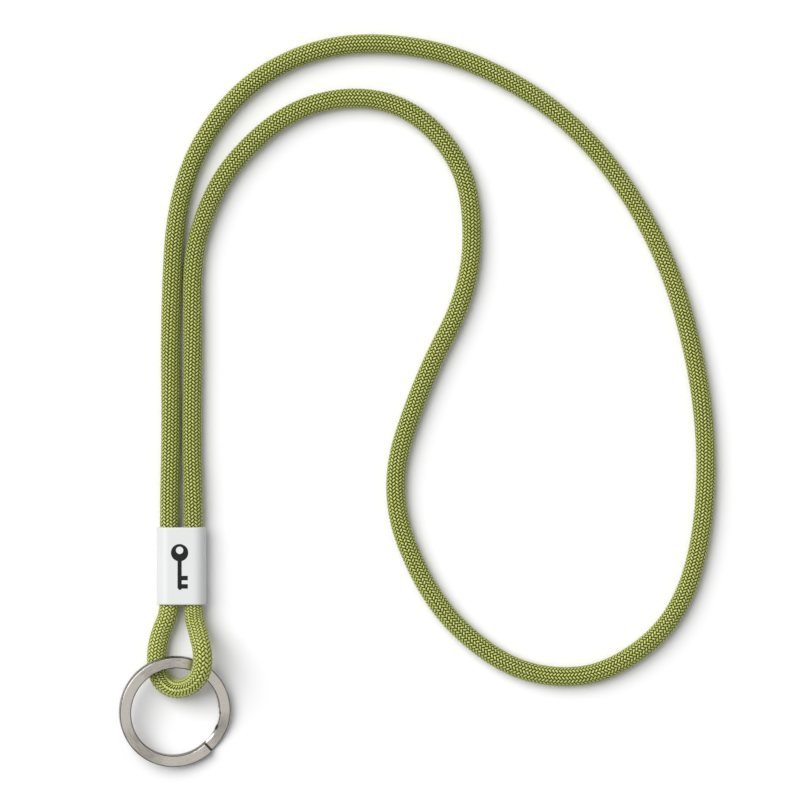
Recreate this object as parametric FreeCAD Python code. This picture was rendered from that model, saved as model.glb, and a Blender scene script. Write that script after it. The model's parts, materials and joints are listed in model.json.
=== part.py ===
import FreeCAD, Part
import math
import os

from FreeCAD import Placement, Rotation, Vector

# A neck lanyard: one long braided cord, its two ends clamped side by side in a
# plastic sleeve, with a small loop of the same cord below the sleeve and a flat
# split ring hanging in that loop. It lies on a table, front side up.
#
# Millimetres. +Z is up, +Y runs along the sleeve away from the ring, +X is right.
# The origin is on the table, under the middle of the box of sleeve and ring.

# Cord: a braided cover over a core of straight yarns.
cord_diameter = 6.2
core_diameter = 4.4
core_play = 0.05            # between core and cover, each side
crimped_diameter = 5.2      # cover, where the crimp squeezes it
crimped_core_diameter = 3.7

# Sleeve: a flattened plastic tube.
sleeve_width = 15.5
sleeve_thickness = 8.4
sleeve_length = 24.2
sleeve_top = 37.5           # its upper mouth, along Y
sleeve_centre_x = 2.0
sleeve_corner_radius = 3.7
sleeve_edge_radius = 0.3
cavity_width = 13.7
cavity_height = 6.3

# Crimp: a metal band pinched between the two strands.
crimp_length = 9.0
crimp_wall = 0.45
crimp_play = 0.05
crimp_waist = 2.4           # inner height between the strands
taper_length = 2.5          # where a strand narrows into the crimp
seal_thickness = 0.4        # melted skin on each cut end
end_gap = 0.3               # between the two cut ends

# Split ring: flat wire wound twice, one turn on the other.
ring_outer_diameter = 35.0
ring_wire_width = 3.6
ring_wire_thickness = 1.4
ring_turn_gap = 0.08
ring_centre_y = -20.0
ring_tilt = 14.0            # degrees: it leans on the loop's left strand
ring_raised_side = 140.0    # degrees from +X, in plan
wire_end_angle = -48.0      # where the top turn is cut
ramp_angle = 46.0           # how far the wire takes to cross to the other turn
wire_end_gap = 2.5          # degrees between a cut end and the ramp

# Loop joint: the cord flexes just below the sleeve's lower mouth.
flex_play = 0.3

# Places that follow from the sizes above.
cord_radius = cord_diameter / 2
strand_offset = (cavity_width - cord_diameter) / 2 - crimp_play
left_x = sleeve_centre_x - strand_offset
right_x = sleeve_centre_x + strand_offset
strand_z = sleeve_thickness / 2
sleeve_bottom = sleeve_top - sleeve_length
sleeve_middle = sleeve_top - sleeve_length / 2
neck_start = sleeve_top - 1.0
flex_y = sleeve_bottom - cord_radius - flex_play
floor_z = cord_radius       # height of a cord's centre where it lies on the table

# The neck cord's route, out of the sleeve on the right and back in on the left.
neck_route = [
    (right_x, neck_start, strand_z),
    (right_x, 47.0, strand_z),
    (5.2, 64.0, floor_z),
    (5.6, 97.0, floor_z),
    (5.3, 121.5, floor_z),
    (9.5, 136.5, floor_z),
    (17.5, 151.5, floor_z),
    (34.5, 167.0, floor_z),
    (53.5, 172.5, floor_z),
    (71.5, 169.5, floor_z),
    (85.5, 157.5, floor_z),
    (93.0, 141.0, floor_z),
    (92.5, 112.5, floor_z),
    (77.0, 83.0, floor_z),
    (66.0, 48.5, floor_z),
    (79.0, 15.5, floor_z),
    (98.0, -3.0, floor_z),
    (116.0, -10.0, floor_z),
    (136.5, -8.0, floor_z),
    (158.0, 9.5, floor_z),
    (166.5, 41.5, floor_z),
    (165.0, 82.5, floor_z),
    (152.5, 126.5, floor_z),
    (127.0, 163.0, floor_z),
    (92.5, 184.5, floor_z),
    (59.0, 190.0, floor_z),
    (33.0, 183.5, floor_z),
    (13.0, 167.0, floor_z),
    (0.5, 141.5, floor_z),
    (-1.6, 104.5, floor_z),
    (-1.2, 67.0, floor_z),
    (left_x, 47.0, strand_z),
    (left_x, neck_start, strand_z),
]

# The ring loop's route, from its left flex point to its right one. The left
# strand lies on the table under the ring, the right one arches over the ring.
loop_route = [
    (left_x, flex_y, strand_z),
    (-4.1, 4.6, 3.5),
    (-6.1, -2.2, floor_z),
    (-5.7, -9.3, floor_z),
    (-1.3, -13.4, 4.3),
    (4.7, -12.9, 8.0),
    (9.0, -8.6, 12.2),
    (9.2, -1.6, 12.6),
    (7.4, 4.8, 7.7),
    (right_x, flex_y, strand_z),
]


def rounded_path(points):
    """Straight runs with a tangent arc at each inner point. Returns wire, length and radii."""
    points = [Vector(*p) for p in points]
    edges, radii = [], []
    length = 0.0
    start = points[0]
    for before, corner, after in zip(points, points[1:], points[2:]):
        back = before - corner
        ahead = after - corner
        shorter = min(back.Length, ahead.Length)
        back.normalize()
        ahead.normalize()
        turn = math.pi - back.getAngle(ahead)
        setback = 0.45 * shorter
        radius = setback / math.tan(turn / 2)
        arc_start = corner + back * setback
        arc_end = corner + ahead * setback
        inward = back + ahead
        inward.normalize()
        arc_middle = corner + inward * (radius / math.cos(turn / 2) - radius)
        edges.append(Part.LineSegment(start, arc_start).toShape())
        edges.append(Part.Arc(arc_start, arc_middle, arc_end).toShape())
        length += (arc_start - start).Length + radius * turn
        radii.append(radius)
        start = arc_end
    edges.append(Part.LineSegment(start, points[-1]).toShape())
    length += (points[-1] - start).Length
    return Part.Wire(edges), length, radii


def swept_rod(points, diameter):
    """A round rod along a rounded path."""
    wire, length, radii = rounded_path(points)
    heading = Vector(*points[1]) - Vector(*points[0])
    section = Part.Wire([Part.Circle(Vector(*points[0]), heading, diameter / 2).toShape()])
    rod = wire.makePipeShell([section], True, True)
    return rod, length, radii


def cord_run(name, points, end_ball=False):
    """A cord's cover and core along a route. The cover's ends may be rounded for a flex joint."""
    outer, length, radii = swept_rod(points, cord_diameter)
    bore, _, _ = swept_rod(points, core_diameter + 2 * core_play)
    core, _, _ = swept_rod(points, core_diameter)
    expected = math.pi * cord_radius ** 2 * length
    print(f"{name}: length {length:.1f} mm, volume / (section x length) {outer.Volume / expected:.4f}")
    print(f"{name}: arc radii {' '.join(f'{r:.1f}' for r in radii)}")
    if end_ball:
        for end in (points[0], points[-1]):
            outer = outer.fuse(Part.makeSphere(cord_radius, Vector(*end)))
    return outer.cut(bore), core


def stadium(width, height, depth, corner=None):
    """A slab with rounded corners, width along X, height along Z, depth along Y, centred in X and Z."""
    slab = Part.makeBox(width, depth, height, Vector(-width / 2, 0, -height / 2))
    radius = min(corner or height / 2, height / 2 - 0.01)
    long_edges = [
        edge for edge in slab.Edges
        if abs(edge.tangentAt(edge.FirstParameter).y) > 0.99
    ]
    return slab.makeFillet(radius, long_edges)


def make_sleeve():
    """The sleeve's shell, with softened rims at both mouths."""
    outer = stadium(sleeve_width, sleeve_thickness, sleeve_length, sleeve_corner_radius)
    rims = [
        edge for edge in outer.Edges
        if edge.BoundBox.YLength < 1e-6
    ]
    outer = outer.makeFillet(sleeve_edge_radius, rims)
    cavity = stadium(cavity_width, cavity_height, sleeve_length + 2)
    cavity.translate(Vector(0, -1, 0))
    shell = outer.cut(cavity)
    shell.translate(Vector(sleeve_centre_x, sleeve_bottom, strand_z))
    return shell


def pinched_bar(radius, waist, length):
    """Two round bars side by side joined by a lower waist, along Y."""
    bars = [
        Part.makeCylinder(radius, length, Vector(x, 0, 0), Vector(0, 1, 0))
        for x in (-strand_offset, strand_offset)
    ]
    waist_bar = Part.makeBox(
        2 * strand_offset, length, waist, Vector(-strand_offset, 0, -waist / 2)
    )
    return bars[0].fuse([bars[1], waist_bar]).removeSplitter()


def make_crimp():
    """The crimp band, pinched between the strands."""
    inner_radius = crimped_diameter / 2 + crimp_play
    band = pinched_bar(inner_radius + crimp_wall, crimp_waist + 2 * crimp_wall, crimp_length)
    hollow = pinched_bar(inner_radius, crimp_waist, crimp_length + 2)
    hollow.translate(Vector(0, -1, 0))
    crimp = band.cut(hollow)
    crimp.translate(Vector(sleeve_centre_x, sleeve_middle - crimp_length / 2, strand_z))
    return crimp


def turned(profile, x):
    """A solid of revolution about the strand's axis. The profile is (radius, y) pairs."""
    corners = [Vector(x + r, y, strand_z) for r, y in profile]
    face = Part.Face(Part.makePolygon(corners + corners[:1]))
    return face.revolve(Vector(x, 0, strand_z), Vector(0, 1, 0), 360)


def strand(x, low, high):
    """A cord's cover and core inside the sleeve, narrowed wherever the crimp holds them."""
    crimp_low = sleeve_middle - crimp_length / 2
    crimp_high = sleeve_middle + crimp_length / 2

    def widths(y):
        beyond = max(crimp_low - y, y - crimp_high, 0.0)
        share = min(beyond / taper_length, 1.0)
        cover = crimped_diameter + share * (cord_diameter - crimped_diameter)
        core = crimped_core_diameter + share * (core_diameter - crimped_core_diameter)
        return cover / 2, core / 2

    stations = [crimp_low - taper_length, crimp_low, crimp_high, crimp_high + taper_length]
    heights = [low] + [y for y in stations if low < y < high] + [high]
    cover_line = [(widths(y)[0], y) for y in heights]
    bore_line = [(widths(y)[1] + core_play, y) for y in heights]
    core_line = [(widths(y)[1], y) for y in heights]
    cover = turned(cover_line + bore_line[::-1], x)
    core = turned([(0, low)] + core_line + [(0, high)], x)
    return cover, core


def make_end_seals():
    """The melted skins that close the cord's two cut ends, as two discs."""
    discs = [
        Part.makeCylinder(
            crimped_diameter / 2, seal_thickness, Vector(right_x, y, strand_z), Vector(0, 1, 0)
        )
        for y in (sleeve_middle - end_gap / 2 - seal_thickness, sleeve_middle + end_gap / 2)
    ]
    return Part.makeCompound(discs)


def wire_section(angle, z):
    """The flat wire's section at an angle round the ring, centred at height z."""
    middle = (ring_outer_diameter - ring_wire_width) / 2
    half_width = ring_wire_width / 2
    half_height = ring_wire_thickness / 2
    turn = Rotation(Vector(0, 0, 1), angle)
    corners = [
        turn.multVec(Vector(middle + r, 0, z + h))
        for r, h in (
            (-half_width, -half_height),
            (half_width, -half_height),
            (half_width, half_height),
            (-half_width, half_height),
        )
    ]
    return Part.makePolygon(corners + corners[:1])


def make_split_ring():
    """Two flat turns of wire joined by a ramp, leaning on the loop's left strand."""
    level = (ring_wire_thickness + ring_turn_gap) / 2
    ramp_low = wire_end_angle + wire_end_gap
    ramp_high = ramp_low + ramp_angle
    up = Vector(0, 0, 1)
    # The top turn runs from the head of the ramp round to its cut end.
    top = Part.Face(wire_section(ramp_high, level)).revolve(
        Vector(), up, 360 + wire_end_angle - ramp_high
    )
    # The lower turn runs from its cut end round to the foot of the ramp.
    low_end = ramp_high + wire_end_gap
    low = Part.Face(wire_section(low_end, -level)).revolve(
        Vector(), up, 360 + ramp_low - low_end
    )
    steps = 8
    sections = []
    for i in range(steps + 1):
        share = i / steps
        rise = share * share * (3 - 2 * share)
        sections.append(wire_section(ramp_low + share * ramp_angle, level * (2 * rise - 1)))
    ramp = Part.makeLoft(sections, True, False)
    ring = top.fuse([ramp, low])
    lean = math.radians(ring_tilt)
    half_thickness = level + ring_wire_thickness / 2
    centre_z = ring_outer_diameter / 2 * math.sin(lean) + half_thickness * math.cos(lean)
    tilt_axis = Rotation(up, ring_raised_side).multVec(Vector(0, 1, 0))
    centre = Vector(0, ring_centre_y, centre_z)
    ring.Placement = Placement(centre, Rotation(tilt_axis, -ring_tilt))
    ring_axis = Rotation(tilt_axis, -ring_tilt).multVec(up)
    print("ring centre", [round(v, 3) for v in centre], "axis", [round(v, 5) for v in ring_axis])
    return ring


def make_parts():
    """Every node's shape, by name."""
    parts = {"sleeve": make_sleeve(), "crimp": make_crimp(), "split_ring": make_split_ring()}
    held = {
        "through_strand": (left_x, sleeve_bottom, neck_start),
        "upper_end": (right_x, sleeve_middle + end_gap / 2 + seal_thickness, neck_start),
        "lower_end": (right_x, sleeve_bottom, sleeve_middle - end_gap / 2 - seal_thickness),
    }
    for name, (x, low, high) in held.items():
        parts[f"{name}_cover"], parts[f"{name}_core"] = strand(x, low, high)
    parts["end_seals"] = make_end_seals()
    parts["neck_cord_cover"], parts["neck_cord_core"] = cord_run("neck cord", neck_route)
    parts["ring_loop_cover"], parts["ring_loop_core"] = cord_run("ring loop", loop_route, True)
    return parts


def write_parts():
    """One STEP file per node."""
    os.makedirs("parts", exist_ok=True)
    for name, shape in make_parts().items():
        shape.exportStep(f"parts/{name}.step")
        print(f"{name}: {len(shape.Solids)} solid(s), {shape.Volume:.1f} mm3, valid {shape.isValid()}")


write_parts()
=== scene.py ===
import json

import bmesh
import bpy
import numpy as np
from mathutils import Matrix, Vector


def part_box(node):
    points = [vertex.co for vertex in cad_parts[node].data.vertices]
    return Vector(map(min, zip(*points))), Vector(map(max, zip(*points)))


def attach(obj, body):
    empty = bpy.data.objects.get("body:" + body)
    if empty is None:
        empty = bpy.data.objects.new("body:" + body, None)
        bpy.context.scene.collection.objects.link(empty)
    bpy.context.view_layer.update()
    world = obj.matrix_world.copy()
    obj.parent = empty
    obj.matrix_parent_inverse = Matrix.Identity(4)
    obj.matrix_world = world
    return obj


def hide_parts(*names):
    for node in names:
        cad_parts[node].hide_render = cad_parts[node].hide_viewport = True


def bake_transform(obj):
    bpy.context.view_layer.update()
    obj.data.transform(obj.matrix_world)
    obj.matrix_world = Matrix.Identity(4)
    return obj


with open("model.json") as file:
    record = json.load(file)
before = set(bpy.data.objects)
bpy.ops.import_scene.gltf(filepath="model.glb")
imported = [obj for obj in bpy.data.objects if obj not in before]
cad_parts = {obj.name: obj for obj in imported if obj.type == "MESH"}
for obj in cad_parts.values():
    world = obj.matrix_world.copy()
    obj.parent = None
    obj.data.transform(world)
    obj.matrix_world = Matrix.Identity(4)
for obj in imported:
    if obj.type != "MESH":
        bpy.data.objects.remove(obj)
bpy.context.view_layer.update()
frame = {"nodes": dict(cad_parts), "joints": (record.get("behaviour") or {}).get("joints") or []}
mm = 0.001  # metres in a millimetre

# Places and sizes read from the frame.
sleeveLow, sleeveHigh = (np.array(corner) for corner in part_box("sleeve"))
crimpLow, crimpHigh = (np.array(corner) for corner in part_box("crimp"))
throughLow, throughHigh = (np.array(corner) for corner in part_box("through_strand_cover"))
lowerLow, lowerHigh = (np.array(corner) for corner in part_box("lower_end_cover"))
joints = {joint["name"]: joint for joint in frame["joints"]}
ringCentre = np.array(joints["ring_spin"]["pos_m"])
ringAxis = np.array(joints["ring_spin"]["axis"])
flexY = joints["loop_flex"]["pos_m"][1]
cordDiameter = throughHigh[0] - throughLow[0]
leftX, strandZ = (throughLow[0] + throughHigh[0]) / 2, (throughLow[2] + throughHigh[2]) / 2
rightX = (lowerLow[0] + lowerHigh[0]) / 2
neckStart = throughHigh[1]
mouthY = sleeveLow[1]
floorZ = cordDiameter / 2  # height of a cord's middle where it lies on the floor

view = {
    "centre": (70.3 * mm, 77.2 * mm),  # the point of the floor in the middle of the picture
    "width": 250 * mm,                 # how much of the floor the picture holds
    "lens": 300.0,
    "sensor": 36.0,
}


# A long lens looking straight down.
def makeCamera():
    data = bpy.data.cameras.new("camera")
    data.lens = view["lens"]
    data.sensor_width = view["sensor"]
    camera = bpy.data.objects.new("camera", data)
    bpy.context.scene.collection.objects.link(camera)
    camera.location = (*view["centre"], view["width"] * view["lens"] / view["sensor"] + floorZ)
    bpy.context.scene.camera = camera


makeCamera()
print("camera made")

# Routes of the two free stretches of cord, in metres: the CAD source's points, with the loop's
# moved by up to 0.6 mm.
neckRoute = [
    (rightX, neckStart, strandZ),
    (rightX, 0.0470, strandZ),
    (0.0052, 0.0640, floorZ),
    (0.0056, 0.0970, floorZ),
    (0.0053, 0.1215, floorZ),
    (0.0095, 0.1365, floorZ),
    (0.0175, 0.1515, floorZ),
    (0.0345, 0.1670, floorZ),
    (0.0535, 0.1725, floorZ),
    (0.0715, 0.1695, floorZ),
    (0.0855, 0.1575, floorZ),
    (0.0930, 0.1410, floorZ),
    (0.0925, 0.1125, floorZ),
    (0.0770, 0.0830, floorZ),
    (0.0660, 0.0485, floorZ),
    (0.0790, 0.0155, floorZ),
    (0.0980, -0.0030, floorZ),
    (0.1160, -0.0100, floorZ),
    (0.1365, -0.0080, floorZ),
    (0.1580, 0.0095, floorZ),
    (0.1665, 0.0415, floorZ),
    (0.1650, 0.0825, floorZ),
    (0.1525, 0.1265, floorZ),
    (0.1270, 0.1630, floorZ),
    (0.0925, 0.1845, floorZ),
    (0.0590, 0.1900, floorZ),
    (0.0330, 0.1835, floorZ),
    (0.0130, 0.1670, floorZ),
    (0.0005, 0.1415, floorZ),
    (-0.0016, 0.1045, floorZ),
    (-0.0012, 0.0670, floorZ),
    (leftX, 0.0470, strandZ),
    (leftX, neckStart, strandZ),
]
loopStart = mouthY + 1.0 * mm  # the loop starts and ends a little inside the sleeve
loopRoute = [
    (leftX, loopStart, strandZ),
    (leftX - 0.0003, flexY, strandZ),
    (-0.0045, 0.0048, 0.0035),
    (-0.0060, -0.0022, floorZ),
    (-0.0055, -0.0093, floorZ),
    (-0.0013, -0.0132, 0.0043),
    (0.0044, -0.0125, 0.0083),
    (0.0087, -0.0081, 0.0124),
    (0.0091, -0.0016, 0.0126),
    (0.0074, 0.0048, 0.0077),
    (rightX, flexY, strandZ),
    (rightX, loopStart, strandZ),
]


# Points of the smooth NURBS line that has the route's points as its control points.
def readRoute(name, points):
    curve = bpy.data.curves.new(name, "CURVE")
    curve.dimensions = "3D"
    spline = curve.splines.new("NURBS")
    spline.points.add(len(points) - 1)
    controls = np.ones((len(points), 4))
    controls[:, :3] = points
    spline.points.foreach_set("co", controls.ravel())
    spline.order_u = 3
    spline.use_endpoint_u = True
    spline.resolution_u = 24
    holder = bpy.data.objects.new(name, curve)
    mesh = bpy.data.meshes.new_from_object(holder)
    line = np.zeros(len(mesh.vertices) * 3)
    mesh.vertices.foreach_get("co", line)
    bpy.data.meshes.remove(mesh)
    bpy.data.objects.remove(holder)
    bpy.data.curves.remove(curve)
    return line.reshape(-1, 3)


def lengthAlong(line):
    return np.concatenate([[0], np.cumsum(np.linalg.norm(np.diff(line, axis=0), axis=1))])


def unit(vectors):
    return vectors / np.linalg.norm(vectors, axis=-1, keepdims=True)


# Evenly spaced stations of a line, with the point, the side and the upper direction at each.
# Side is heading x up, and upper is side x heading, so neither turns about the line.
def trackOf(line, count):
    along = lengthAlong(line)
    stations = np.linspace(0, along[-1], count)
    places = np.stack([np.interp(stations, along, line[:, k]) for k in range(3)], axis=1)
    heading = unit(np.gradient(places, stations, axis=0))
    side = unit(np.cross(heading, [0.0, 0.0, 1.0]))
    return stations, places, side, np.cross(side, heading)


# One mesh of one or more tubes, from points shaped (tube, along, around, 3). Rings are joined
# point to point. A tube's ends get one flat face each, or meet if it is closed along. The faces
# are turned over if the volume they enclose comes out negative.
def meshFromTubes(name, tubes, closedAlong=False, uv=None, attributes=None):
    tubes = np.asarray(tubes)
    count, along, around, _ = tubes.shape
    index = np.arange(count * along * around).reshape(count, along, around)
    ahead = np.roll(index, -1, axis=1) if closedAlong else index[:, 1:]
    here = index if closedAlong else index[:, :-1]
    quads = np.stack([here, np.roll(here, -1, axis=2), np.roll(ahead, -1, axis=2), ahead], axis=-1)
    first = tubes[0].reshape(-1, 3)[quads[0].reshape(-1, 4)]
    first = first - first.mean(axis=(0, 1))
    area = np.cross(first[:, 2] - first[:, 0], first[:, 3] - first[:, 1])
    caps = np.concatenate([index[:, 0, ::-1], index[:, -1, :]])
    if np.sum(first[:, 0] * area) < 0:
        quads = quads[..., ::-1]
        caps = caps[:, ::-1]
    quads = quads.reshape(-1, 4)
    caps = caps[:0] if closedAlong else caps
    corners = np.concatenate([quads.ravel(), caps.ravel()])
    starts = np.concatenate([np.arange(len(quads)) * 4, quads.size + np.arange(len(caps)) * around])
    mesh = bpy.data.meshes.new(name)
    mesh.vertices.add(count * along * around)
    mesh.vertices.foreach_set("co", tubes.astype(np.float32).ravel())
    mesh.loops.add(len(corners))
    mesh.loops.foreach_set("vertex_index", corners.astype(np.int32))
    mesh.polygons.add(len(starts))
    mesh.polygons.foreach_set("loop_start", starts.astype(np.int32))
    mesh.update(calc_edges=True)
    mesh.polygons.foreach_set("use_smooth", np.arange(len(starts)) < len(quads))
    if uv is not None:
        layer = mesh.uv_layers.new(name="along")
        layer.data.foreach_set("uv", uv.reshape(-1, 2)[corners].astype(np.float32).ravel())
    for key, values in (attributes or {}).items():
        attribute = mesh.attributes.new(key, "FLOAT", "POINT")
        attribute.data.foreach_set("value", values.astype(np.float32).ravel())
    return mesh


# A finished piece that rides on a body, or, given anything other than a body's name, is fixed where
# it stands in the world.
def addPiece(mesh, material, body, replaced=()):
    piece = bpy.data.objects.new(mesh.name, mesh)
    bpy.context.scene.collection.objects.link(piece)
    mesh.materials.append(material)
    if isinstance(body, str):
        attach(piece, body)
    else:
        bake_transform(piece)
    if replaced:
        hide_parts(*replaced)
    return piece


# Outlines of rectangles with rounded corners, counter-clockwise from the right side. The corners
# are quarter circles, one radius for each, and every flat between them has three points of its
# own, so that a smooth surface stays flat there.
def roundedOutline(halfWide, halfHigh, radii, steps):
    arcs = []
    for k, (signX, signZ) in enumerate(((1, 1), (-1, 1), (-1, -1), (1, -1))):
        turn = np.pi / 2 * (k + np.linspace(0, 1, steps + 1))
        radius = radii[:, k, None]
        x = signX * (halfWide[:, None] - radius) + radius * np.cos(turn)
        z = signZ * (halfHigh[:, None] - radius) + radius * np.sin(turn)
        arcs.append(np.stack([x, z], axis=-1))
    outline = []
    for arc, after in zip(arcs, arcs[1:] + arcs[:1]):
        flatStart, flatEnd = arc[:, -1:], after[:, :1]
        outline += [arc, flatStart + (flatEnd - flatStart) * np.array([0.05, 0.5, 0.95])[:, None]]
    return np.concatenate(outline, axis=1)


# A Principled material with its plain values set, its node tree and its shader.
def newMaterial(name, **values):
    material = bpy.data.materials.new(name)
    material.use_nodes = True
    shader = material.node_tree.nodes["Principled BSDF"]
    for key, value in values.items():
        shader.inputs[key].default_value = value
    return material, material.node_tree, shader


# A node with its settings and inputs. An input is a value or another node's output.
def addNode(tree, kind, inputs=None, **settings):
    node = tree.nodes.new(kind)
    for key, value in settings.items():
        setattr(node, key, value)
    for key, value in (inputs or {}).items():
        if isinstance(value, bpy.types.NodeSocket):
            tree.links.new(value, node.inputs[key])
        else:
            node.inputs[key].default_value = value
    return node


# A colour ramp's output, through (position, grey or colour) stops.
def ramp(tree, factor, stops):
    node = addNode(tree, "ShaderNodeValToRGB", {0: factor})
    elements = node.color_ramp.elements
    while len(elements) < len(stops):
        elements.new(0.5)
    for element, (position, colour) in zip(elements, stops):
        element.position = position
        element.color = (colour,) * 3 + (1,) if isinstance(colour, float) else (*colour, 1)
    return node.outputs[0]


# Noise on object coordinates.
def objectNoise(tree, scale, detail=2.0):
    place = addNode(tree, "ShaderNodeTexCoord")
    noise = addNode(tree, "ShaderNodeTexNoise",
                    {"Vector": place.outputs["Object"], "Scale": scale, "Detail": detail})
    return noise.outputs[0]


# Two colours mixed by a factor. Each is plain numbers or another node's output.
def mixColours(tree, factor, first, second):
    first, second = (colour if isinstance(colour, bpy.types.NodeSocket) else (*colour, 1)
                     for colour in (first, second))
    node = addNode(tree, "ShaderNodeMix", data_type="RGBA",
                   inputs={"Factor": factor, 6: first, 7: second})
    return node.outputs[2]


def multiply(tree, first, second):
    return addNode(tree, "ShaderNodeMath", {0: first, 1: second}, operation="MULTIPLY").outputs[0]


# Streaks drawn out along a piece's first UV axis: filaments in a yarn, draw lines on a wire.
def makeStreakGroup():
    group = bpy.data.node_groups.new("streaks", "ShaderNodeTree")
    for name, value in (("Along", 0.5), ("Across", 9.0), ("Depth", 0.5)):
        socket = group.interface.new_socket(name, in_out="INPUT", socket_type="NodeSocketFloat")
        socket.default_value = value
    group.interface.new_socket("Streaks", in_out="OUTPUT", socket_type="NodeSocketFloat")
    group.interface.new_socket("Normal", in_out="OUTPUT", socket_type="NodeSocketVector")
    start = group.nodes.new("NodeGroupInput")
    end = group.nodes.new("NodeGroupOutput")
    uv = addNode(group, "ShaderNodeUVMap", uv_map="along")
    apart = addNode(group, "ShaderNodeSeparateXYZ", {0: uv.outputs[0]})
    place = addNode(group, "ShaderNodeCombineXYZ",
                    {0: multiply(group, apart.outputs[0], start.outputs["Along"]),
                     1: multiply(group, apart.outputs[1], start.outputs["Across"])})
    noise = addNode(group, "ShaderNodeTexNoise",
                    {"Vector": place.outputs[0], "Scale": 1.0, "Detail": 3.0, "Roughness": 0.6})
    bump = addNode(group, "ShaderNodeBump",
                   {"Height": noise.outputs[0], "Strength": start.outputs["Depth"],
                    "Distance": 0.05 * mm})
    group.links.new(noise.outputs[0], end.inputs["Streaks"])
    group.links.new(bump.outputs[0], end.inputs["Normal"])
    return group


streakGroup = makeStreakGroup()

yarnColour = {
    "deep": (0.008, 0.015, 0.001),    # painted shade between the yarns
    "body": (0.080, 0.115, 0.005),
    "warm": (0.135, 0.130, 0.006),    # slightly yellower stretches
    # painted highlight on the crests
    "crest": (0.480, 0.530, 0.150),
    "glint": (0.860, 0.890, 0.480),   # painted glints on the crests, along the filaments
    "ground": ((0.010, 0.016, 0.002), (0.035, 0.052, 0.006)),  # inside of the cover, painted near-black as shade
}


# Dyed filament yarn, with painted shade and painted highlights. Its colour follows how high the
# surface stands in the braid: painted shade low down between the yarns, a painted highlight on
# the crests and painted glints from streaks along the filaments there, with slow changes of tint
# along the cord.
def makeYarnMaterial():
    material, tree, shader = newMaterial("dyedYarnPaintedLight", **{
        "Roughness": 0.30, "IOR": 1.7, "Specular IOR Level": 0.65,
        "Specular Tint": (1.0, 1.0, 0.15, 1.0),
    })
    streaks = addNode(tree, "ShaderNodeGroup", {"Along": 0.6, "Across": 9.0, "Depth": 0.5},
                      node_tree=streakGroup)
    height = addNode(tree, "ShaderNodeAttribute", attribute_name="height").outputs["Fac"]
    warmth = ramp(tree, objectNoise(tree, 60.0), [(0.50, 0.0), (0.75, 0.8)])
    body = mixColours(tree, warmth, yarnColour["body"], yarnColour["warm"])
    # Painted shade: the low parts of the braid darken to the deep colour.
    raised = ramp(tree, height, [(0.34, 0.0), (0.80, 1.0)])
    low = mixColours(tree, raised, yarnColour["deep"], body)
    # Painted highlight: the topmost parts brighten to the crest colour.
    topmost = ramp(tree, height, [(0.66, 0.0), (0.94, 1.0)])
    high = mixColours(tree, topmost, low, yarnColour["crest"])
    # Painted glints: streaks on the highest parts brighten to the glint colour.
    glints = multiply(tree, ramp(tree, streaks.outputs["Streaks"], [(0.46, 0.0), (0.70, 0.8)]),
                      ramp(tree, height, [(0.62, 0.0), (0.96, 1.0)]))
    tree.links.new(mixColours(tree, glints, high, yarnColour["glint"]), shader.inputs["Base Color"])
    tree.links.new(streaks.outputs["Normal"], shader.inputs["Normal"])
    return material


# The inside of the cover, seen between the yarns, painted near-black as shade.
def makeGroundMaterial():
    material, tree, shader = newMaterial("coverGround", **{"Roughness": 0.8})
    darker, lighter = yarnColour["ground"]
    colour = ramp(tree, objectNoise(tree, 900.0), [(0.35, darker), (0.70, lighter)])
    tree.links.new(colour, shader.inputs["Base Color"])
    return material


yarnMaterial = makeYarnMaterial()
groundMaterial = makeGroundMaterial()

braid = {
    "carriers": 16,          # yarns that wind each way
    "lay": 17.9 * mm,        # length of one turn of a yarn
    "radius": 2.47 * mm,     # of the yarns' mean path
    "weave": 0.32 * mm,      # how far a yarn rises and dives
    "flatness": 1.7,         # how level it stays on its crest
    "halfWidth": (0.37, 0.53),                # shares of the yarns' spacing: diving, raised
    "halfThickness": (0.18 * mm, 0.30 * mm),  # diving, raised
    "ground": 2.24 * mm,     # radius of the cover's inside
    "deep": 2.40 * mm,       # radius where the height mask is 0: full painted shade
    "crest": 3.09 * mm,      # and where it is 1: full painted highlight
    "crowding": (0.1, 2.5),  # limits of its square
    "drift": ((0.35, 61 * mm, 1.0), (0.20, 23 * mm, 0.0)),  # radians, length, phase
    "driftLength": 200 * mm,  # a cord as long as this drifts fully
}


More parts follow.
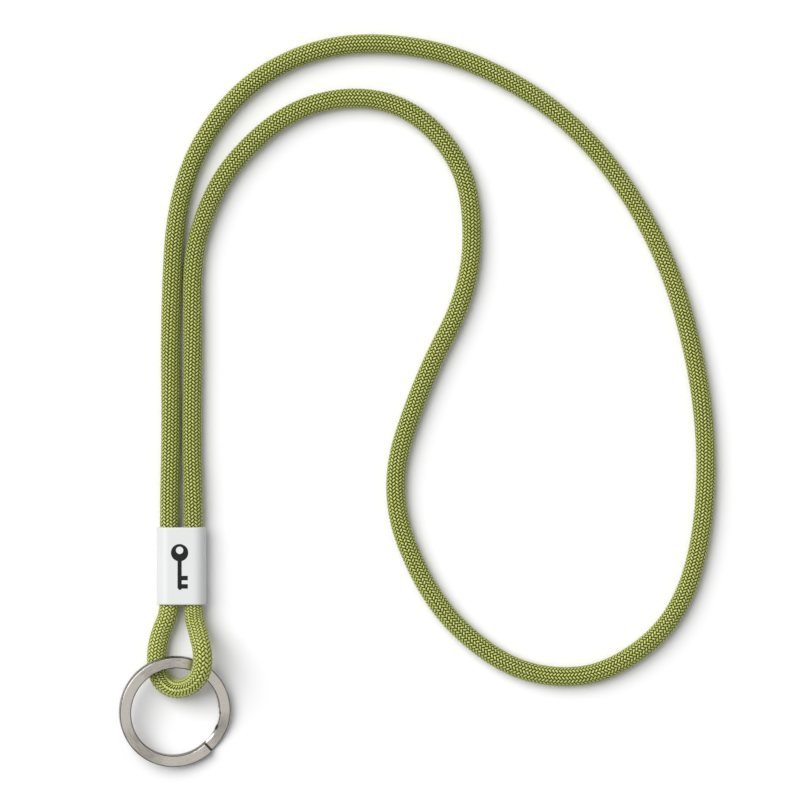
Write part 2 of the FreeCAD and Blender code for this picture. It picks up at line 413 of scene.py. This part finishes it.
# Every yarn of a braid along a line, as tubes of points. A yarn winds round the line at constant
# pitch. Its distance from the line is a flattened cosine with one crest each four crossings: over
# two yarns of the other set, then under two. The two sets' waves are opposite, and depend only on
# the angle round the cord, so the crests line up in ribs along it. The ribs drift slowly round a
# long cord, as a laid cord does. A yarn's section is an ellipse, fullest on the crest. Its width
# is a share of the yarns' spacing. Inside a bend the yarns crowd: crowding is the length of the
# yarn's middle path along the cord, per length of the line. The spacing shrinks with it, and the
# share by its square root.
def braidTubes(line, steps, sides, squeeze):
    length = lengthAlong(line)[-1]
    carriers, lay = braid["carriers"], braid["lay"]
    count = int(length / lay * 2 * carriers * steps) + 2
    stations, places, side, upper = trackOf(line, count)
    scale = squeeze(places)
    drift = np.clip(length / braid["driftLength"], 0, 1) * sum(
        turn * np.sin(stations / reach + phase) for turn, reach, phase in braid["drift"])
    carrier = np.arange(carriers)[:, None]
    around = 2 * np.pi * np.arange(sides)[:, None] / sides
    tubes, heights = [], []
    for direction in (1, -1):
        angle = 2 * np.pi * (carrier / carriers + direction * stations / lay)
        wave = direction * np.cos(carriers / 2 * angle - np.pi / 4)
        wave = np.tanh(braid["flatness"] * wave) / np.tanh(braid["flatness"])
        lift = 0.5 + 0.5 * wave
        angle = angle + drift
        outward = np.cos(angle)[..., None] * side + np.sin(angle)[..., None] * upper
        distance = (braid["radius"] + braid["weave"] * wave) * scale
        path = places + distance[..., None] * outward
        heading = unit(np.gradient(path, axis=1))
        across = unit(np.cross(heading, outward))
        normal = np.cross(across, heading)
        middlePath = places + (braid["radius"] * scale)[:, None] * outward
        speed = np.linalg.norm(np.gradient(middlePath, stations, axis=1), axis=-1)
        swing = 2 * np.pi * braid["radius"] * scale / lay  # round the cord, per length of the line
        crowding = np.sqrt(np.clip(speed**2 - swing**2, *braid["crowding"]))
        apartRound = 2 * np.pi * braid["radius"] / carriers
        apartAlong = lay * crowding / carriers
        spacing = apartRound * apartAlong / np.hypot(apartRound, apartAlong)
        wide, thick = (((low + (high - low) * lift) * scale)[..., None, None]
                       for low, high in (braid["halfWidth"], braid["halfThickness"]))
        wide = wide * (spacing * np.sqrt(np.minimum(crowding, 1)))[..., None, None]
        tube = (path[:, :, None] + wide * np.cos(around) * across[:, :, None]
                + thick * np.sin(around) * normal[:, :, None])
        # Height mask for the yarn colour's painted shade and painted highlights: 0 deep in the braid,
        # 1 on the crests.
        fromLine = np.linalg.norm(tube - places[None, :, None], axis=-1) / scale[:, None]
        heights.append((fromLine - braid["deep"]) / (braid["crest"] - braid["deep"]))
        tubes.append(tube)
    uv = np.zeros((carriers, count, sides, 2))
    uv[..., 0] = (stations / mm + 97.0 * carrier)[..., None]  # far apart, so no two yarns match
    uv[..., 1] = np.abs(2 * np.arange(sides) / sides - 1)
    return tubes, heights, uv


# Circles of one radius square to the line.
def plainTube(line, radius, squeeze, around=20, step=1.0 * mm):
    _, places, side, upper = trackOf(line, int(lengthAlong(line)[-1] / step) + 2)
    angle = 2 * np.pi * np.arange(around)[:, None] / around
    outward = np.cos(angle) * side[:, None] + np.sin(angle) * upper[:, None]
    return places[:, None] + (radius * squeeze(places))[:, None, None] * outward


# The width of a stretch that nothing narrows, as a share of itself.
def freeWidth(places):
    return np.ones(len(places))


heldStrand = {
    "crimped": 5.2 / 6.2,  # width in the crimp, as a share of the free width
    "taper": 2.5 * mm,     # length over which it widens beyond the crimp
    "points": 9,           # along its straight line
}


# The held strands' width as a share of their free width: the crimped share inside the crimp,
# easing to 1 over the taper beyond each of its ends.
def crimpedWidth(places):
    crimped = heldStrand["crimped"]
    beyond = np.maximum(crimpLow[1] - places[:, 1], places[:, 1] - crimpHigh[1])
    share = np.clip(beyond / heldStrand["taper"], 0, 1)
    return crimped + (1 - crimped) * share * share * (3 - 2 * share)


# A cord's inside and the yarns round it, in a few pieces of whole yarns.
def makeCord(name, line, body, steps=2, sides=6, groups=4, squeeze=freeWidth):
    tubes, heights, uv = braidTubes(line, steps, sides, squeeze)
    ground = meshFromTubes(f"{name}_ground", [plainTube(line, braid["ground"], squeeze)])
    groundPiece = addPiece(ground, groundMaterial, body, [f"{name}_core"])
    yarnPieces = []
    share = braid["carriers"] // groups
    for tube, height, way in zip(tubes, heights, ("right", "left")):
        for k in range(groups):
            part = slice(k * share, (k + 1) * share)
            mesh = meshFromTubes(f"{name}_yarns_{way}_{k + 1}", tube[part], uv=uv[part],
                                 attributes={"height": height[part]})
            yarnPieces.append(addPiece(mesh, yarnMaterial, body, [f"{name}_cover"]))
    return groundPiece, yarnPieces


neckLine = readRoute("neckRoute", neckRoute)
neckGround, neckYarns = makeCord("neck_cord", neckLine, "clamp")

loopLine = readRoute("loopRoute", loopRoute)
bendLength = 11 * mm  # of cord below the sleeve, where the real cord bends as the loop flexes; here it stays fixed
loopBend = {
    "bodies": ("clamp", "loop"),
    "start": ((leftX + rightX) / 2, mouthY, strandZ),
    "end": ((leftX + rightX) / 2, mouthY - bendLength, strandZ),
}
loopGround, loopYarns = makeCord("ring_loop", loopLine, loopBend, steps=3, sides=10, groups=1)


# The stretches of cord inside the sleeve, narrowed by the crimp. They reach down to where the
# ring loop starts.
def makeHeldStrands():
    for name in ("through_strand", "upper_end", "lower_end"):
        low, high = (np.array(corner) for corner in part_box(f"{name}_cover"))
        line = np.tile((low + high) / 2, (heldStrand["points"], 1))
        line[:, 1] = np.linspace(max(low[1], loopStart), high[1], heldStrand["points"])
        makeCord(name, line, "clamp", groups=1, squeeze=crimpedWidth)


makeHeldStrands()
print("held strands made")

sleeve = {
    "corner": 3.7 * mm,      # outer corner radius
    "rim": 0.40 * mm,        # softening of the outer edge at each mouth
    "lip": 0.20 * mm,        # softening of the inner edge
    "cavity": (13.7 * mm, 6.3 * mm),
    "roundness": 0.97,       # the cavity's corner radius, as a share of its half height
    "colour": (0.715, 0.725, 0.723),
    "duller": 0.985,         # the colour's darkest share
}


# The sleeve's wall: a rounded rectangle carried along a closed profile, up the outside, over one
# rim, down the inside and back over the other rim. Each rim is two quarter circles.
def makeSleeve():
    size, middle = sleeveHigh - sleeveLow, (sleeveLow + sleeveHigh) / 2
    halfLong, rim, lip = size[1] / 2, sleeve["rim"], sleeve["lip"]
    quarter = np.linspace(0, np.pi / 2, 6)
    straight = np.linspace(-halfLong + 2 * rim, halfLong - 2 * rim, 9)
    # Each entry: 0 on the outside or 1 on the inside, how far it is set into the wall, and y.
    upper = [(0, rim * (1 - np.cos(a)), halfLong - rim * (1 - np.sin(a))) for a in quarter]
    upper += [(1, lip * (1 - np.sin(a)), halfLong - lip * (1 - np.cos(a))) for a in quarter]
    lower = [(wall, inset, -y) for wall, inset, y in upper[::-1]]
    profile = [(0, 0.0, y) for y in straight] + upper + [(1, 0.0, y) for y in straight[::-1]] + lower
    wall, inset, y = (np.array(column) for column in zip(*profile))
    outer = np.array([size[0], size[2]]) / 2
    inner = np.array(sleeve["cavity"]) / 2
    half = np.where(wall[:, None] == 0, outer - inset[:, None], inner + inset[:, None])
    corner = np.where(wall == 0, sleeve["corner"] - inset, sleeve["roundness"] * inner[1] + inset)
    outline = roundedOutline(half[:, 0], half[:, 1], np.repeat(corner[:, None], 4, axis=1), 10)
    points = np.stack([middle[0] + outline[..., 0],
                       np.repeat((middle[1] + y)[:, None], outline.shape[1], axis=1),
                       middle[2] + outline[..., 1]], axis=-1)
    return meshFromTubes("sleeve_shell", [points], closedAlong=True)


# Glossy moulded plastic, with a faint unevenness of the surface and fine handling marks.
def makeSleeveMaterial():
    material, tree, shader = newMaterial("whitePlastic", **{"Specular IOR Level": 0.45})
    duller = tuple(sleeve["duller"] * share for share in sleeve["colour"])
    colour = ramp(tree, objectNoise(tree, 45.0), [(0.3, duller), (0.7, sleeve["colour"])])
    bump = addNode(tree, "ShaderNodeBump",
                   {"Height": objectNoise(tree, 160.0, 1.0), "Strength": 0.1, "Distance": 0.2 * mm})
    rough = ramp(tree, objectNoise(tree, 700.0, 4.0), [(0.4, 0.30), (0.7, 0.42)])
    tree.links.new(colour, shader.inputs["Base Color"])
    tree.links.new(rough, shader.inputs["Roughness"])
    tree.links.new(bump.outputs[0], shader.inputs["Normal"])
    return material


addPiece(makeSleeve(), makeSleeveMaterial(), "clamp", ["sleeve"])
print("sleeve made")

keyMark = {
    "centre": (1.6 * mm, 29.6 * mm),   # middle of the bow
    "bow": 2.7 * mm,
    "hole": (1.15 * mm, 0.75 * mm),    # its radius, and how far it sits above the bow's middle
    "shank": 1.3 * mm,                 # width
    "tip": 17.9 * mm,                  # how low the shank ends, along Y
    "bits": (0.5 * mm, 3.1 * mm),      # how far above the tip each bit starts
    "bit": (1.9 * mm, 1.4 * mm),       # length and height of a bit
    "ink": 0.02 * mm,                  # its thickness
    "sunk": 0.1,                       # share of the ink below the sleeve's face
}


# Outline of a plain key: an arc for the bow, down the shank to its tip, and up past two bits.
def keyOutline():
    x, y = keyMark["centre"]
    half, tip = keyMark["shank"] / 2, keyMark["tip"]
    long, tall = keyMark["bit"]
    opening = np.arcsin(half / keyMark["bow"])  # half the angle where the shank meets the bow
    arc = np.linspace(-np.pi / 2 + opening, 3 * np.pi / 2 - opening, 49)
    outline = [(x + keyMark["bow"] * np.cos(a), y + keyMark["bow"] * np.sin(a)) for a in arc]
    outline += [(x - half, tip + half), (x, tip), (x + half, tip + half / 2)]
    for start in keyMark["bits"]:
        outline += [(x + half, tip + start), (x + half + long, tip + start),
                    (x + half + long, tip + start + tall), (x + half, tip + start + tall)]
    return outline


# The key printed on the front: its outline and its round hole as a flat curve, filled and made
# as thick as the ink, then set on the sleeve's face.
def makeKeyPrint():
    x, y = keyMark["centre"]
    radius, rise = keyMark["hole"]
    turn = np.arange(36) * np.pi / 18
    hole = [(x + radius * np.cos(a), y + rise + radius * np.sin(a)) for a in turn]
    curve = bpy.data.curves.new("key_print", "CURVE")
    curve.dimensions = "2D"
    curve.fill_mode = "BOTH"
    curve.extrude = keyMark["ink"] / 2
    for points in (keyOutline(), hole):
        spline = curve.splines.new("POLY")
        spline.points.add(len(points) - 1)
        spline.points.foreach_set("co", np.pad(points, ((0, 0), (0, 2))).ravel())
        spline.use_cyclic_u = True
    holder = bpy.data.objects.new("key_print", curve)
    mesh = bpy.data.meshes.new_from_object(holder)
    bpy.data.objects.remove(holder)
    bpy.data.curves.remove(curve)
    mesh.name = "key_print"
    height = sleeveHigh[2] + (0.5 - keyMark["sunk"]) * keyMark["ink"]
    work = bmesh.new()
    work.from_mesh(mesh)
    bmesh.ops.remove_doubles(work, verts=work.verts, dist=keyMark["ink"] / 10)
    bmesh.ops.translate(work, verts=work.verts, vec=(0, 0, height))
    bmesh.ops.recalc_face_normals(work, faces=work.faces)
    work.to_mesh(mesh)
    work.free()
    return mesh


# Pad-printed ink: nearly black, with a slightly uneven film.
def makeInkMaterial():
    material, tree, shader = newMaterial("printInk", **{"Specular IOR Level": 0.15})
    film = objectNoise(tree, 1500.0, 3.0)
    tree.links.new(ramp(tree, film, [(0.3, 0.006), (0.7, 0.012)]), shader.inputs["Base Color"])
    tree.links.new(ramp(tree, film, [(0.3, 0.35), (0.7, 0.50)]), shader.inputs["Roughness"])
    return material


addPiece(makeKeyPrint(), makeInkMaterial(), "clamp")
print("print made")

splitRing = {
    "outer": 17.5 * mm,
    "width": 3.6 * mm,
    "thickness": 1.4 * mm,
    "level": 0.74 * mm,      # height of each turn's middle above or below the ring's middle
    "edge": 0.42 * mm,       # rolled edges of the wire
    "maskDepth": 0.084 * mm,  # how deep in an edge the mask of painted edge shade is full
    "pressed": 0.95 * mm,    # the inner upper edge where the wire is bent down
    "topEnd": 312.0,         # degrees, where the top turn is cut
    "bendStart": 0.5,        # where the wire leaves the top level
    "bendEnd": -45.5,        # and where it reaches the lower one
    "lowEnd": -357.0,        # where the lower turn is cut
    "stations": 900,
    # Stretches of the wire: middle, half length and fade, degrees.
    "paintedHighlight": ((-11.0, 8.0, 1.5), (-34.5, 10.5, 1.5)),  # painted highlight on the inner edge
    "corner": (-47.8, 2.2, 0.5),                           # painted shade in the corner under the cut end
    "faceColours": ((0.48, 0.442, 0.390), (0.82, 0.770, 0.700)),
    # painted shade and dark reflections on the edges and walls
    "edgeColour": (0.060, 0.055, 0.048),
    "edgeRoughness": 0.12,
    # colour of the painted highlight on the inner edge
    "paintedHighlightColour": (0.95, 0.93, 0.90),
}


# 1 along a stretch of the wire, falling to 0 over the fade at each of its ends.
def stretchMask(degrees, middle, half, fade):
    return np.clip((half - np.abs(degrees - middle)) / fade, 0, 1)


# Flat wire carried round twice. Its height is the top level, then a smooth step down, then the
# lower level. Its section is a rectangle with rolled edges, and the inner upper edge is rounder
# on the step, where the bending tool pressed it. The ring is made flat, then leant over until its
# axis is the joint's. One mask marks the edges, the walls and the corner under the cut end, which
# get painted shade and painted dark reflections, and another marks the stretches of the inner
# edge that get a painted highlight.
def makeSplitRing():
    ring = splitRing
    degrees = np.linspace(ring["topEnd"], ring["lowEnd"], ring["stations"])
    down = np.clip((ring["bendStart"] - degrees) / (ring["bendStart"] - ring["bendEnd"]), 0, 1)
    height = ring["level"] * (1 - 2 * down * down * (3 - 2 * down))
    radii = np.full((len(degrees), 4), ring["edge"])
    radii[:, 1] += (ring["pressed"] - ring["edge"]) * np.sqrt(np.sin(np.pi * down))
    same = np.ones(len(degrees))
    outline = roundedOutline(ring["width"] / 2 * same, ring["thickness"] / 2 * same, radii, 5)
    angle = np.radians(degrees)[:, None]
    middle = ring["outer"] - ring["width"] / 2
    radius = middle + outline[..., 0]
    points = np.stack([radius * np.cos(angle), radius * np.sin(angle),
                       height[:, None] + outline[..., 1]], axis=-1)
    lean = Vector((0, 0, 1)).rotation_difference(Vector(ringAxis)).to_matrix()
    points = points @ np.array(lean).T + ringCentre
    uv = np.stack([np.broadcast_to(angle * middle, radius.shape), outline[..., 0]], axis=-1) / mm
    inset = np.minimum(ring["width"] / 2 - np.abs(outline[..., 0]),
                       ring["thickness"] / 2 - np.abs(outline[..., 1]))
    wall = np.isclose(np.abs(outline[..., 0]), ring["width"] / 2)
    edgeMaskPaintedShade = np.maximum(np.clip(inset / ring["maskDepth"], 0, 1), wall)
    # Painted highlight on stretches of the inner edge.
    bright = np.max([stretchMask(degrees, *stretch) for stretch in ring["paintedHighlight"]], axis=0)
    # Painted shade in the corner under the cut end, added to the edge mask.
    corner = stretchMask(degrees, *ring["corner"])
    return meshFromTubes("ring_wire", [points], uv=uv, attributes={
        "edgeMaskPaintedShade": np.maximum(edgeMaskPaintedShade, corner[:, None]),
        "paintedHighlight": edgeMaskPaintedShade * bright[:, None] * (outline[..., 0] < 0)})


# Nickel plate: satin faces with draw lines along the wire, and smoother edges and walls. The edges
# and walls are painted dark as shade and dark reflections, and stretches of the inner edge get a
# painted highlight.
def makeNickelMaterial():
    material, tree, shader = newMaterial("nickelPlate", **{"Metallic": 1.0})
    lines = addNode(tree, "ShaderNodeGroup", {"Along": 0.35, "Across": 9.0, "Depth": 0.25},
                    node_tree=streakGroup)
    edgeMaskPaintedShade, paintedHighlight = (addNode(tree, "ShaderNodeAttribute", attribute_name=name).outputs["Fac"]
                         for name in ("edgeMaskPaintedShade", "paintedHighlight"))
    tone = addNode(tree, "ShaderNodeMath", {0: lines.outputs["Streaks"], 1: objectNoise(tree, 70.0)},
                   operation="ADD").outputs[0]
    darker, lighter = splitRing["faceColours"]
    face = ramp(tree, tone, [(0.80, darker), (1.12, lighter)])
    # Painted shade and dark reflections on the edges and walls, then a painted highlight on stretches
    # of the inner edge.
    edged = mixColours(tree, edgeMaskPaintedShade, face, splitRing["edgeColour"])
    colour = mixColours(tree, paintedHighlight, edged, splitRing["paintedHighlightColour"])
    satin = ramp(tree, lines.outputs["Streaks"], [(0.3, 0.24), (0.7, 0.38)])
    tree.links.new(colour, shader.inputs["Base Color"])
    smooth = (splitRing["edgeRoughness"],) * 3
    tree.links.new(mixColours(tree, edgeMaskPaintedShade, satin, smooth), shader.inputs["Roughness"])
    tree.links.new(lines.outputs["Normal"], shader.inputs["Normal"])
    return material


addPiece(makeSplitRing(), makeNickelMaterial(), "ring", ["split_ring"])
print("split ring made")


# The crimp and the melted cord ends keep their shapes and get their finishes.
def finishFrameParts():
    metal, tree, shader = newMaterial("pressedSheet", **{"Metallic": 1.0})
    grain = objectNoise(tree, 900.0, 3.0)
    tree.links.new(ramp(tree, grain, [(0.3, (0.55, 0.56, 0.58)), (0.7, (0.74, 0.75, 0.76))]),
                   shader.inputs["Base Color"])
    tree.links.new(ramp(tree, grain, [(0.3, 0.28), (0.7, 0.45)]), shader.inputs["Roughness"])
    melted, tree, shader = newMaterial("meltedYarn", **{"Roughness": 0.3})
    drops = objectNoise(tree, 1500.0)
    tree.links.new(ramp(tree, drops, [(0.3, (0.03, 0.04, 0.008)), (0.7, (0.10, 0.13, 0.02))]),
                   shader.inputs["Base Color"])
    for node, material in (("crimp", metal), ("end_seals", melted)):
        frame["nodes"][node].data.materials.clear()
        frame["nodes"][node].data.materials.append(material)


finishFrameParts()

studio = {
    "floor": (0.92, 0.92, 0.93),
    "key": 2.70,                    # strength of the main light
    "keyAngle": 50.0,               # its apparent width, degrees
    "keyWay": (0.56, -0.42, -1.0),  # the way it shines
    "sky": (0.05, 0.86),            # brightness at the horizon, and how much more overhead
}


# A plain pale floor, one wide soft light from the upper left, and a soft sky. The sky's
# brightness is the horizon's plus the overhead share times the cubed height of the direction.
def makeStage():
    bpy.ops.mesh.primitive_plane_add(size=6.0, location=(*view["centre"], 0))
    floor = bpy.context.object
    floor.name = "floor"
    material, tree, shader = newMaterial("paleFloor", **{"Roughness": 0.9, "Specular IOR Level": 0.1})
    shader.inputs["Base Color"].default_value = (*studio["floor"], 1)
    floor.data.materials.append(material)
    data = bpy.data.lights.new("key", "SUN")
    data.energy = studio["key"]
    data.angle = np.radians(studio["keyAngle"])
    key = bpy.data.objects.new("key", data)
    key.rotation_euler = Vector(studio["keyWay"]).to_track_quat("-Z", "Y").to_euler()
    bpy.context.scene.collection.objects.link(key)
    world = bpy.data.worlds.new("studio")
    world.use_nodes = True
    tree = world.node_tree
    place = addNode(tree, "ShaderNodeTexCoord")
    tall = addNode(tree, "ShaderNodeSeparateXYZ", {0: place.outputs["Generated"]}).outputs[2]
    horizon, overhead = studio["sky"]
    cubed = multiply(tree, multiply(tree, tall, tall), tall)
    sky = addNode(tree, "ShaderNodeMath", {0: cubed, 1: overhead, 2: horizon},
                  operation="MULTIPLY_ADD")
    background = tree.nodes["Background"]
    background.inputs[0].default_value = (1, 1, 1, 1)
    tree.links.new(sky.outputs[0], background.inputs[1])
    bpy.context.scene.world = world
    bpy.context.scene.view_settings.view_transform = "Standard"


makeStage()
print("stage made")
